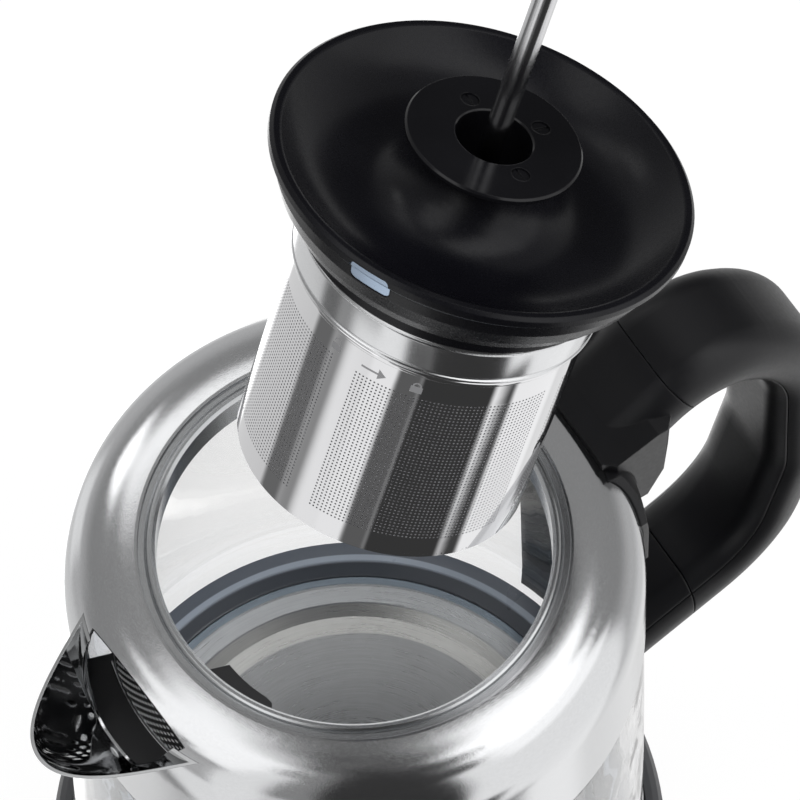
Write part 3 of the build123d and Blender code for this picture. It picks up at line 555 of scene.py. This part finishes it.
def staggered_cell(name, width, height, radius, thickness):
    """Rectangle two rows high: one hole below, and above it the halves of its two neighbours."""
    single = hole_cell("single_hole", width, height, radius, thickness)
    work = bmesh.new()
    for x, z in ((0, -1), (-1, 1), (1, 1)):
        single.data.transform(Matrix.Translation((x * width / 2, 0, z * height / 2)))
        work.from_mesh(single.data)
        single.data.transform(Matrix.Translation((-x * width / 2, 0, -z * height / 2)))
    bpy.data.objects.remove(single)
    for side in (-1, 0, 1):
        geometry = work.verts[:] + work.edges[:] + work.faces[:]
        bmesh.ops.bisect_plane(
            work, geom=geometry, dist=1e-9, plane_co=(side * width / 2, 0, 0),
            plane_no=(side or 1, 0, 0), clear_outer=side != 0)
    bmesh.ops.remove_doubles(work, verts=work.verts, dist=MERGE)
    return bpy.data.objects.new(name, as_mesh(work, name))


def plain_sheet(name, radius, wall, heights, columns, closed=True):
    """Rolled sheet round its fields of holes, from four heights in millimetres.

    Each column is an angle and whether a field of holes begins there, between the middle heights.
    """
    work = bmesh.new()
    outer, inner = [
        [
            [work.verts.new((reach * math.cos(a), reach * math.sin(a), height * MM)) for a, _ in columns]
            for height in heights
        ]
        for reach in (radius, radius - wall)
    ]
    strips = range(len(heights) - 1)
    for k in range(len(columns) if closed else len(columns) - 1):
        after = (k + 1) % len(columns)
        for strip in strips:
            if strip == 1 and columns[k][1]:
                continue
            low, high = outer[strip], outer[strip + 1]
            work.faces.new((low[k], low[after], high[after], high[k]))
            low, high = inner[strip], inner[strip + 1]
            work.faces.new((low[k], high[k], high[after], low[after]))
        work.faces.new((outer[-1][k], outer[-1][after], inner[-1][after], inner[-1][k]))
        work.faces.new((outer[0][k], inner[0][k], inner[0][after], outer[0][after]))
    if not closed:
        for strip in strips:
            low, high = strip, strip + 1
            work.faces.new((outer[low][0], outer[high][0], inner[high][0], inner[low][0]))
            work.faces.new((outer[low][-1], inner[low][-1], inner[high][-1], outer[high][-1]))
    return as_mesh(work, name)


class Pattern(Nodes):
    """A geometry node tree with named inputs."""

    def __init__(self, name, inputs):
        super().__init__(bpy.data.node_groups.new(name, "GeometryNodeTree"))
        sockets = self.tree.interface
        sockets.new_socket("Geometry", in_out="OUTPUT", socket_type="NodeSocketGeometry")
        self.identifiers = {}
        for label, kind in inputs.items():
            made = sockets.new_socket(label, in_out="INPUT", socket_type="NodeSocket" + kind)
            self.identifiers[label] = made.identifier
        self.given = self.tree.nodes.new("NodeGroupInput")
        self.result = self.tree.nodes.new("NodeGroupOutput")

    def wire(self, label):
        return Value(self, self.given.outputs[label])

    def end(self, geometry):
        self.put(self.result.inputs[0], geometry)

    def mesh(self, name, values):
        """The tree's result as a plain mesh."""
        carrier = bpy.data.objects.new(name, bpy.data.meshes.new(name))
        bpy.context.scene.collection.objects.link(carrier)
        modifier = carrier.modifiers.new("pattern", "NODES")
        modifier.node_group = self.tree
        for label, value in values.items():
            modifier[self.identifiers[label]] = value
        bpy.context.view_layer.update()
        evaluated = carrier.evaluated_get(bpy.context.evaluated_depsgraph_get())
        made = bpy.data.meshes.new_from_object(evaluated)
        carrier.modifiers.clear()
        bpy.data.objects.remove(carrier)
        return made


def perforation_tree():
    """Rows and columns of a hole cell, rolled round the upright axis."""
    tree = Pattern("perforation", {
        "Cell": "Object",
        "Columns": "Int",
        "Rows": "Int",
        "Width": "Float",
        "Height": "Float",
        "Radius": "Float",
        "Start": "Float",
        "Bottom": "Float",
        "Finish": "Material",
    })
    node, wire = tree.node, tree.wire
    columns, rows = wire("Columns"), wire("Rows")
    width, height, radius = wire("Width"), wire("Height"), wire("Radius")
    grid = node("GeometryNodeMeshGrid", None, {
        "Size X": (columns - 1) * width,
        "Size Y": (rows - 1) * height,
        "Vertices X": columns,
        "Vertices Y": rows,
    })
    upright = node("GeometryNodeTransform", None, {"Geometry": grid, "Rotation": (math.pi / 2, 0, 0)})
    source = {"Object": wire("Cell"), "As Instance": True}
    cell = node("GeometryNodeObjectInfo", None, source, output="Geometry")
    cells = node("GeometryNodeInstanceOnPoints", None, {"Points": upright, "Instance": cell})
    real = node("GeometryNodeRealizeInstances", None, {"Geometry": cells})
    merged = node("GeometryNodeMergeByDistance", None, {"Geometry": real, "Distance": CELL_MERGE})
    x, y, z = tree.parts(node("GeometryNodeInputPosition"))
    angle = (x + columns * width * 0.5) / radius + wire("Start")
    reach = y + radius
    rise = z + rows * height * 0.5 + wire("Bottom")
    rolled = tree.joined(reach * angle.math("COSINE"), reach * angle.math("SINE"), rise)
    placed = node("GeometryNodeSetPosition", None, {"Geometry": merged, "Position": rolled})
    tree.end(node("GeometryNodeSetMaterial", None, {"Geometry": placed, "Material": wire("Finish")}))
    return tree


PERFORATION = perforation_tree()


# ---------------------------------------------------------------- basket
PANELS = 4
PANEL_COLUMNS = 51
PANEL_ROWS = 45
PANEL_SPAN = math.radians(80.0)
PANEL_GAP = math.tau / PANELS - PANEL_SPAN
GAP_COLUMNS = 6
FIRST_PANEL = math.radians(-158.0)
HOLE_R = 0.27 * MM
BASKET_FOOT = -98.4      # heights from the lid's rim plane, in millimetres
PANEL_BOTTOM = -92.0
PANEL_TOP = -44.6
BASKET_TOP = -26.0

panel_starts = [FIRST_PANEL + number * math.tau / PANELS for number in range(PANELS)]
panel_step = PANEL_SPAN * BASKET_R / PANEL_COLUMNS
row_step = (PANEL_TOP - PANEL_BOTTOM) * MM / PANEL_ROWS
cell = hole_cell("hole_cell", panel_step, row_step, HOLE_R, BASKET_WALL)
for number, start in enumerate(panel_starts):
    name = f"basket_panel_{number + 1}"
    mesh = PERFORATION.mesh(name, {
        "Cell": cell,
        "Columns": PANEL_COLUMNS,
        "Rows": PANEL_ROWS,
        "Width": panel_step,
        "Height": row_step,
        "Radius": BASKET_R,
        "Start": start,
        "Bottom": PANEL_BOTTOM * MM,
        "Finish": FINISHES["basket_steel"],
    })
    panel = new_piece(name, mesh, "basket_steel", LEANING)
    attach(panel, "basket")
    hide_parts("basket_wall")
bpy.data.objects.remove(cell)

columns = []
for start in panel_starts:
    columns += [(start + PANEL_SPAN * k / PANEL_COLUMNS, True) for k in range(PANEL_COLUMNS)]
    columns += [(start + PANEL_SPAN + PANEL_GAP * k / GAP_COLUMNS, False) for k in range(GAP_COLUMNS)]
sheet_heights = (BASKET_FOOT, PANEL_BOTTOM, PANEL_TOP, BASKET_TOP)
sheet_mesh = plain_sheet("basket_sheet", BASKET_R, BASKET_WALL, sheet_heights, columns)
sheet = new_piece("basket_sheet", sheet_mesh, "basket_steel", LEANING)
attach(sheet, "basket")
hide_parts("basket_wall")

bead = spun("basket_bead", (
    (37.5, -36.2, 0), (37.9, -36.2, 0.1), (38.4, -36.7, 0.4),
    (38.4, -37.5, 0.4), (37.9, -38.0, 0.1), (37.5, -38.0, 0),
), "basket_steel", LEANING)
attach(bead, "basket")
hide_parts("basket_wall")
hem = spun("basket_hem", (
    (0, -98.2, 0), (32.6, -98.2, 1.0), (34.2, -99.5, 1.2), (36.6, -99.5, 1.6),
    (37.8, -98.3, 0.8), (37.8, -97.4, 0), (37.3, -97.4, 0), (37.2, -98.1, 0.5),
    (36.3, -98.9, 1.0), (34.6, -98.9, 0.8), (33.2, -97.6, 0.6), (0, -97.6, 0),
), "basket_steel", LEANING)
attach(hem, "basket")
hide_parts("basket_base")

cap = spun("basket_cap_spun", (
    (3.0, -24.8, 0), (38.4, -24.8, 0.3), (38.4, -35.1, 0.2), (38.8, -35.6, 0.2),
    (39.3, -35.5, 0.25), (39.25, -34.9, 0.2), (38.85, -34.6, 0.15), (38.85, -34.2, 0.15),
    (39.15, -33.9, 0.3), (39.15, -26.35, 0.2), (38.85, -26.15, 0.1), (38.85, -25.85, 0.1),
    (39.25, -25.65, 0.3), (39.3, -24.8, 0.8), (38.4, -24.0, 1.0), (3.0, -24.0, 0),
), "cap_steel", LEANING)
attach(cap, "lift_rod")
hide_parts("basket_cap")


# ---------------------------------------------------------------- spout filter
FILTER_HALF = math.radians(19.0)
FILTER_COLUMNS = 12
FILTER_ROWS = 6          # pairs of staggered rows
FILTER_PITCH = 3.0 * MM
FILTER_RISE = 1.95 * MM
FILTER_HOLE_R = 0.7 * MM
FILTER_INSET = 0.02 * MM  # how far the sheet's edges stay inside the plate's height
LINE_R = 67.1 * MM       # outside of the thin line round the plate
LINE_COLUMNS = 36
LINE_HEIGHTS = (175.9, 176.1, 176.3, 176.5)

plate_low, plate_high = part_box("filter_mesh")
field = FILTER_COLUMNS * FILTER_PITCH / FILTER_R
field_low = (plate_low.z + plate_high.z) / 2 - FILTER_ROWS * FILTER_RISE
field_high = field_low + 2 * FILTER_RISE * FILTER_ROWS
cell = staggered_cell("filter_cell", FILTER_PITCH, FILTER_RISE, FILTER_HOLE_R, FILTER_SHEET)
plate_mesh = PERFORATION.mesh("filter_plate", {
    "Cell": cell,
    "Columns": FILTER_COLUMNS,
    "Rows": FILTER_ROWS,
    "Width": FILTER_PITCH,
    "Height": 2 * FILTER_RISE,
    "Radius": FILTER_R,
    "Start": -field / 2,
    "Bottom": field_low,
    "Finish": FINISHES["mesh_steel"],
})
bpy.data.objects.remove(cell)
plate = new_piece("filter_plate", plate_mesh, "mesh_steel", TOWARDS_SPOUT)

half_columns = 2 * FILTER_COLUMNS
columns = [(-FILTER_HALF, False)]
columns += [(field * k / half_columns - field / 2, k < half_columns) for k in range(half_columns + 1)]
columns += [(FILTER_HALF, False)]
edge_heights = (plate_low.z + FILTER_INSET, field_low, field_high, plate_high.z - FILTER_INSET)
edge_mesh = plain_sheet(
    "filter_edge", FILTER_R, FILTER_SHEET, [height / MM for height in edge_heights], columns, False)
edge = new_piece("filter_edge", edge_mesh, "mesh_steel", TOWARDS_SPOUT)

columns = [(-FILTER_HALF + 2 * FILTER_HALF * k / LINE_COLUMNS, False) for k in range(LINE_COLUMNS + 1)]
line_mesh = plain_sheet("filter_bead", LINE_R, FILTER_SHEET, LINE_HEIGHTS, columns, False)
line = new_piece("filter_bead", line_mesh, "rim_steel", TOWARDS_SPOUT)
for piece in (plate, edge, line):
    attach(piece, "spout_filter")
    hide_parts("filter_mesh")


# ---------------------------------------------------------------- studio
CAMERA_PLACE = Vector((-0.3024, -0.4951, 1.3720))
VIEW_HEADING = math.radians(32.6)     # from +Y towards +X
VIEW_DOWN = math.radians(61.9)
LENS = 225.0             # in millimetres, as the sensor's width is
SENSOR = 36.0
NEAREST = 0.05
camera = bpy.data.objects.new("camera", bpy.data.cameras.new("camera"))
camera.data.lens = LENS
camera.data.sensor_width = SENSOR
camera.data.clip_start = NEAREST
camera.location = CAMERA_PLACE
camera.rotation_euler = (math.pi / 2 - VIEW_DOWN, 0, -VIEW_HEADING)
bpy.context.scene.collection.objects.link(camera)
bpy.context.scene.camera = camera
bpy.context.scene.view_settings.view_transform = "Standard"


def direction(azimuth, elevation):
    """Unit vector; azimuth runs from +Y towards +X, in degrees."""
    a = math.radians(azimuth)
    e = math.radians(elevation)
    return Vector((math.sin(a) * math.cos(e), math.cos(a) * math.cos(e), math.sin(e)))


def sine(degrees):
    """Sine of an angle that stays between straight down and straight up."""
    return math.sin(math.radians(max(-90.0, min(90.0, degrees))))


def cosine(degrees):
    """Cosine of an angle that stays between 0 and half a turn."""
    return math.cos(math.radians(max(0.0, min(180.0, degrees))))


ROOM_LEVEL = 0.5         # light of the room on matt surfaces
ROOM_GLOSS = 0.34        # what polished surfaces see of the room
# Screens and flags that polished surfaces see: azimuth, half width, low and high elevation, softness, level.
ROOM_PATCHES = (
    (-5, 34, -90, 24, 24, 0.55),
    (100, 20, -90, 22, 24, 0.5),
    (22, 92, -90, 8, 24, 0.62),
    (22, 92, -90, -24, 24, 0.82),
    (95, 25, -90, -50, 10, 0.95),
    (-60, 60, -90, -64, 8, 1.0),
    (-22, 9, -28, 6, 10, 1.08),
    (7, 15, -66, -42, 12, 2.2),
    (-127, 9, -90, 14, 14, 0.85),
    (-97, 9, -22, 34, 10, 0.6),
    (-97, 10, -90, -16, 10, 1.1),
    (-67, 7, -50, -8, 5, 0.18),
    (-112, 8, -90, 68, 4, 1.15),
    (-98, 8, 38, 79, 5, 1.45),
    (-80, 25, 47, 79, 5, 1.52),
    (-68, 37, 60, 79, 5, 1.52),
    (-45, 48, 69, 79, 5, 1.55),
    (15, 14, 48, 58, 6, 1.6),
    (-2, 6, 36, 48, 4, 2.4),
    (30, 15, 68, 90, 5, 0.18),
    (50, 24, -6, 34, 9, 0.07),
    (146, 30, -90, 45, 9, 1.2),
    (140, 27, 30, 70, 7, 1.55),
    (128, 24, 50, 78, 6, 1.8),
    (114, 38, 60, 79, 5, 2.0),
    (95, 35, 70, 79, 4, 1.8),
    (172, 10, -90, 45, 6, 1.2),
    (173, 8, 50, 90, 5, 0.1),
    (165, 16, 68, 90, 5, 0.08),
    (0, 180, 81, 90, 3, 0.12),
    (-52, 30, 79, 84, 3, 1.0),
    (-158, 23, -90, 90, 5, 0.05),
    (-128, 7, -90, -10, 4, 0.14),
    (173, 9, -90, -42, 6, 0.07),
    (156, 10, -90, -58, 6, 0.35),
)
world = bpy.data.worlds.new("studio")
world.use_nodes = True
bpy.context.scene.world = world
sky = Nodes(world.node_tree)
east, north, up = sky.parts(sky.node("ShaderNodeTexCoord", output="Generated"))
level_reach = east.reach(north)
gloss = ROOM_GLOSS
for azimuth, half, low, high, soft, level in ROOM_PATCHES:
    heading = direction(azimuth, 0)
    facing = (east * heading.x + north * heading.y) / level_reach
    inside = facing.step(cosine(half + soft / 2), cosine(half - soft / 2))
    above = up.step(sine(low - soft / 2), sine(low + soft / 2))
    over = up.step(sine(high - soft / 2), sine(high + soft / 2))
    gloss = gloss + inside * above * (1 - over) * (level - gloss)
plain = sky.ray("Is Camera Ray").larger(sky.ray("Is Transmission Ray"))
glossy = sky.ray("Is Glossy Ray")
strength = gloss * glossy + (1 - glossy) * ROOM_LEVEL
background = world.node_tree.nodes["Background"]
sky.put(background.inputs["Strength"], strength * (1 - plain) + plain)
sky.put(background.inputs["Color"], (1, 1, 1, 1))

FLOOR_REACH = 6.0
PAPER_GLOW = 1.03
PAPER_SHARE = 0.92       # share of the glow in what is seen of the floor; the rest keeps the shadow
floor_mesh = bpy.data.meshes.new("floor")
floor_mesh.from_pydata([(x * FLOOR_REACH, y * FLOOR_REACH, 0) for x, y in SQUARE], [], [(0, 1, 2, 3)])
floor = bpy.data.objects.new("floor", floor_mesh)
bpy.context.scene.collection.objects.link(floor)
floor.visible_glossy = False
paper = Finish("white_paper", Base_Color=(0.9, 0.9, 0.9, 1), Roughness=0.7)
seen = paper.ray("Is Camera Ray").larger(paper.ray("Is Transmission Ray"))
paper.show(paper.node("ShaderNodeEmission", None, {"Strength": PAPER_GLOW}), seen * PAPER_SHARE)
floor_mesh.materials.append(paper.material)

LAMP_AIM = Vector((0, 0, 0.2))
LAMP_DISTANCE = 1.3


def softbox(name, azimuth, elevation, width, height, power):
    """Soft rectangular lamp that faces the object."""
    lamp = bpy.data.lights.new(name, "AREA")
    lamp.shape = "RECTANGLE"
    lamp.size = width
    lamp.size_y = height
    lamp.energy = power
    holder = bpy.data.objects.new(name, lamp)
    holder.location = LAMP_AIM + direction(azimuth, elevation) * LAMP_DISTANCE
    holder.rotation_euler = (-direction(azimuth, elevation)).to_track_quat("-Z", "Y").to_euler()
    holder.visible_glossy = False
    bpy.context.scene.collection.objects.link(holder)


softbox("key_screen", 150, 40, 0.9, 1.6, 10)
softbox("top_screen", -30, 75, 0.8, 0.8, 6)
